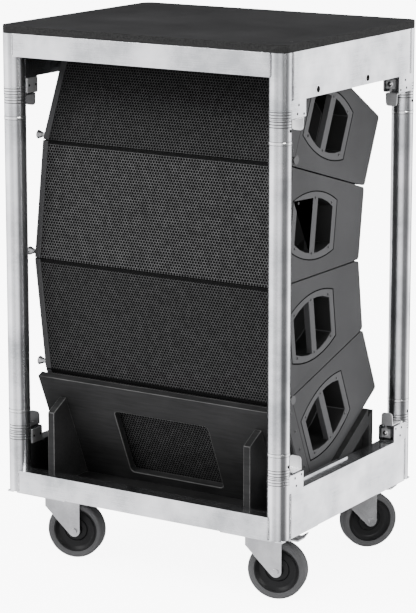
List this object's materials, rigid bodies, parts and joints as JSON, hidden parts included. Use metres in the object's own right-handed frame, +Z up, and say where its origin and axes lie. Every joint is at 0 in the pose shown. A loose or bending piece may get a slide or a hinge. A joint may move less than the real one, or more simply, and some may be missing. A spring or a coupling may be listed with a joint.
{
  "type": "line array speaker",
  "caption": "Column of splayed loudspeaker cabinets joined by link pins, held in an aluminium touring cart with lid board, tube posts, spring latches, plywood cradle and casters.",
  "frame": {"origin": "on the floor, under the middle of the cart", "axes": "+Z up, grilles face -Y, +X to the right seen from the front"},
  "size_m": [0.896, 0.72, 1.5],
  "materials": {
    "frame_aluminium": "satin mill finish with welded joints",
    "latch_steel": "bright zinc plate",
    "caster_zinc": "zinc plated pressed steel",
    "wheel_core": "black moulded polyamide",
    "wheel_tyre": "grey elastic rubber",
    "deck_board": "dark anti-slip phenolic film on birch plywood",
    "cradle_plywood": "black stained plywood with grey worn edges",
    "cabinet_coating": "fine-textured dark grey coating on birch plywood",
    "grille_sheet": "black powder coat on perforated steel",
    "driver_assembly": "black cones on a black baffle",
    "handle_moulding": "fine-textured dark grey moulding",
    "pin_steel": "turned stainless steel"
  },
  "bodies": {
    "cart": {"base_frame": "frame_aluminium", "post_front_left": "frame_aluminium", "post_front_right": "frame_aluminium", "post_rear_left": "frame_aluminium", "post_rear_right": "frame_aluminium", "cradle_floor": "cradle_plywood", "cradle_front_panel": "cradle_plywood", "cradle_cheek_left": "cradle_plywood", "cradle_cheek_right": "cradle_plywood", "cradle_rear_support": "cradle_plywood", "cabinet_1": "cabinet_coating", "grille_1": "grille_sheet", "driver_baffle_1": "driver_assembly", "handle_1_left": "handle_moulding", "handle_1_right": "handle_moulding", "cabinet_2": "cabinet_coating", "grille_2": "grille_sheet", "driver_baffle_2": "driver_assembly", "handle_2_left": "handle_moulding", "handle_2_right": "handle_moulding", "cabinet_3": "cabinet_coating", "grille_3": "grille_sheet", "driver_baffle_3": "driver_assembly", "handle_3_left": "handle_moulding", "handle_3_right": "handle_moulding", "cabinet_4": "cabinet_coating", "grille_4": "grille_sheet", "driver_baffle_4": "driver_assembly", "handle_4_left": "handle_moulding", "handle_4_right": "handle_moulding"},
    "lid": {"lid_frame": "frame_aluminium", "lid_board": "deck_board"},
    "latch_base_front_left": {"latch_base_front_left": "latch_steel"},
    "latch_base_front_right": {"latch_base_front_right": "latch_steel"},
    "latch_base_rear_left": {"latch_base_rear_left": "latch_steel"},
    "latch_base_rear_right": {"latch_base_rear_right": "latch_steel"},
    "latch_lid_front_left": {"latch_lid_front_left": "latch_steel"},
    "latch_lid_front_right": {"latch_lid_front_right": "latch_steel"},
    "latch_lid_rear_left": {"latch_lid_rear_left": "latch_steel"},
    "latch_lid_rear_right": {"latch_lid_rear_right": "latch_steel"},
    "caster_front_left": {"caster_fork_front_left": "caster_zinc"},
    "caster_front_right": {"caster_fork_front_right": "caster_zinc"},
    "caster_rear_left": {"caster_fork_rear_left": "caster_zinc"},
    "caster_rear_right": {"caster_fork_rear_right": "caster_zinc"},
    "wheel_front_left": {"wheel_hub_front_left": "wheel_core", "wheel_tyre_front_left": "wheel_tyre"},
    "wheel_front_right": {"wheel_hub_front_right": "wheel_core", "wheel_tyre_front_right": "wheel_tyre"},
    "wheel_rear_left": {"wheel_hub_rear_left": "wheel_core", "wheel_tyre_rear_left": "wheel_tyre"},
    "wheel_rear_right": {"wheel_hub_rear_right": "wheel_core", "wheel_tyre_rear_right": "wheel_tyre"},
    "pedal_front_right": {"brake_pedal_front_right": "caster_zinc"},
    "pedal_rear_right": {"brake_pedal_rear_right": "caster_zinc"},
    "pin_1_left": {"link_pin_1_left": "pin_steel"},
    "pin_1_right": {"link_pin_1_right": "pin_steel"},
    "pin_2_left": {"link_pin_2_left": "pin_steel"},
    "pin_2_right": {"link_pin_2_right": "pin_steel"},
    "pin_3_left": {"link_pin_3_left": "pin_steel"},
    "pin_3_right": {"link_pin_3_right": "pin_steel"}
  },
  "joints": [
    {"name": "lid_lift", "type": "slide", "parent": "cart", "child": "lid", "axis": [0, 0, 1], "range_m": [0, 0.1]},
    {"name": "latch_base_front_left_slide", "type": "slide", "parent": "cart", "child": "latch_base_front_left", "axis": [0, 1, 0], "range_m": [0, 0.012], "stiffness_N_per_m": 400, "springref_m": -0.006},
    {"name": "latch_base_front_right_slide", "type": "slide", "parent": "cart", "child": "latch_base_front_right", "axis": [0, 1, 0], "range_m": [0, 0.012], "stiffness_N_per_m": 400, "springref_m": -0.006},
    {"name": "latch_base_rear_left_slide", "type": "slide", "parent": "cart", "child": "latch_base_rear_left", "axis": [0, -1, 0], "range_m": [0, 0.012], "stiffness_N_per_m": 400, "springref_m": -0.006},
    {"name": "latch_base_rear_right_slide", "type": "slide", "parent": "cart", "child": "latch_base_rear_right", "axis": [0, -1, 0], "range_m": [0, 0.012], "stiffness_N_per_m": 400, "springref_m": -0.006},
    {"name": "latch_lid_front_left_slide", "type": "slide", "parent": "lid", "child": "latch_lid_front_left", "axis": [0, 1, 0], "range_m": [0, 0.012], "stiffness_N_per_m": 400, "springref_m": -0.006},
    {"name": "latch_lid_front_right_slide", "type": "slide", "parent": "lid", "child": "latch_lid_front_right", "axis": [0, 1, 0], "range_m": [0, 0.012], "stiffness_N_per_m": 400, "springref_m": -0.006},
    {"name": "latch_lid_rear_left_slide", "type": "slide", "parent": "lid", "child": "latch_lid_rear_left", "axis": [0, -1, 0], "range_m": [0, 0.012], "stiffness_N_per_m": 400, "springref_m": -0.006},
    {"name": "latch_lid_rear_right_slide", "type": "slide", "parent": "lid", "child": "latch_lid_rear_right", "axis": [0, -1, 0], "range_m": [0, 0.012], "stiffness_N_per_m": 400, "springref_m": -0.006},
    {"name": "caster_front_left_swivel", "type": "hinge", "parent": "cart", "child": "caster_front_left", "pos_m": [-0.328, -0.25, 0.18], "axis": [0, 0, 1], "continuous": true},
    {"name": "caster_front_right_swivel", "type": "hinge", "parent": "cart", "child": "caster_front_right", "pos_m": [0.328, -0.25, 0.18], "axis": [0, 0, 1], "continuous": true},
    {"name": "caster_rear_left_swivel", "type": "hinge", "parent": "cart", "child": "caster_rear_left", "pos_m": [-0.328, 0.25, 0.18], "axis": [0, 0, 1], "continuous": true},
    {"name": "caster_rear_right_swivel", "type": "hinge", "parent": "cart", "child": "caster_rear_right", "pos_m": [0.328, 0.25, 0.18], "axis": [0, 0, 1], "continuous": true},
    {"name": "wheel_front_left_spin", "type": "hinge", "parent": "caster_front_left", "child": "wheel_front_left", "pos_m": [-0.29186, -0.23826, 0.08], "axis": [-0.309, 0.9511, 0], "continuous": true},
    {"name": "wheel_front_right_spin", "type": "hinge", "parent": "caster_front_right", "child": "wheel_front_right", "pos_m": [0.36434, -0.23889, 0.08], "axis": [-0.2924, 0.9563, 0], "continuous": true},
    {"name": "wheel_rear_left_spin", "type": "hinge", "parent": "caster_rear_left", "child": "wheel_rear_left", "pos_m": [-0.29229, 0.263, 0.08], "axis": [-0.342, 0.9397, 0], "continuous": true},
    {"name": "wheel_rear_right_spin", "type": "hinge", "parent": "caster_rear_right", "child": "wheel_rear_right", "pos_m": [0.35293, 0.27868, 0.08], "axis": [-0.7547, 0.6561, 0], "continuous": true},
    {"name": "pedal_front_right_press", "type": "hinge", "parent": "caster_front_right", "child": "pedal_front_right", "pos_m": [0.37582, -0.23538, 0.17], "axis": [-0.2924, 0.9563, 0], "range_deg": [0, 14]},
    {"name": "pedal_rear_right_press", "type": "hinge", "parent": "caster_rear_right", "child": "pedal_rear_right", "pos_m": [0.3608, 0.28774, 0.17], "axis": [-0.7547, 0.6561, 0], "range_deg": [0, 14]},
    {"name": "pin_1_left_pull", "type": "slide", "parent": "cart", "child": "pin_1_left", "axis": [-1, 0, 0], "range_m": [0, 0.04]},
    {"name": "pin_1_right_pull", "type": "slide", "parent": "cart", "child": "pin_1_right", "axis": [1, 0, 0], "range_m": [0, 0.04]},
    {"name": "pin_2_left_pull", "type": "slide", "parent": "cart", "child": "pin_2_left", "axis": [-1, 0, 0], "range_m": [0, 0.04]},
    {"name": "pin_2_right_pull", "type": "slide", "parent": "cart", "child": "pin_2_right", "axis": [1, 0, 0], "range_m": [0, 0.04]},
    {"name": "pin_3_left_pull", "type": "slide", "parent": "cart", "child": "pin_3_left", "axis": [-1, 0, 0], "range_m": [0, 0.04]},
    {"name": "pin_3_right_pull", "type": "slide", "parent": "cart", "child": "pin_3_right", "axis": [1, 0, 0], "range_m": [0, 0.04]}
  ]
}
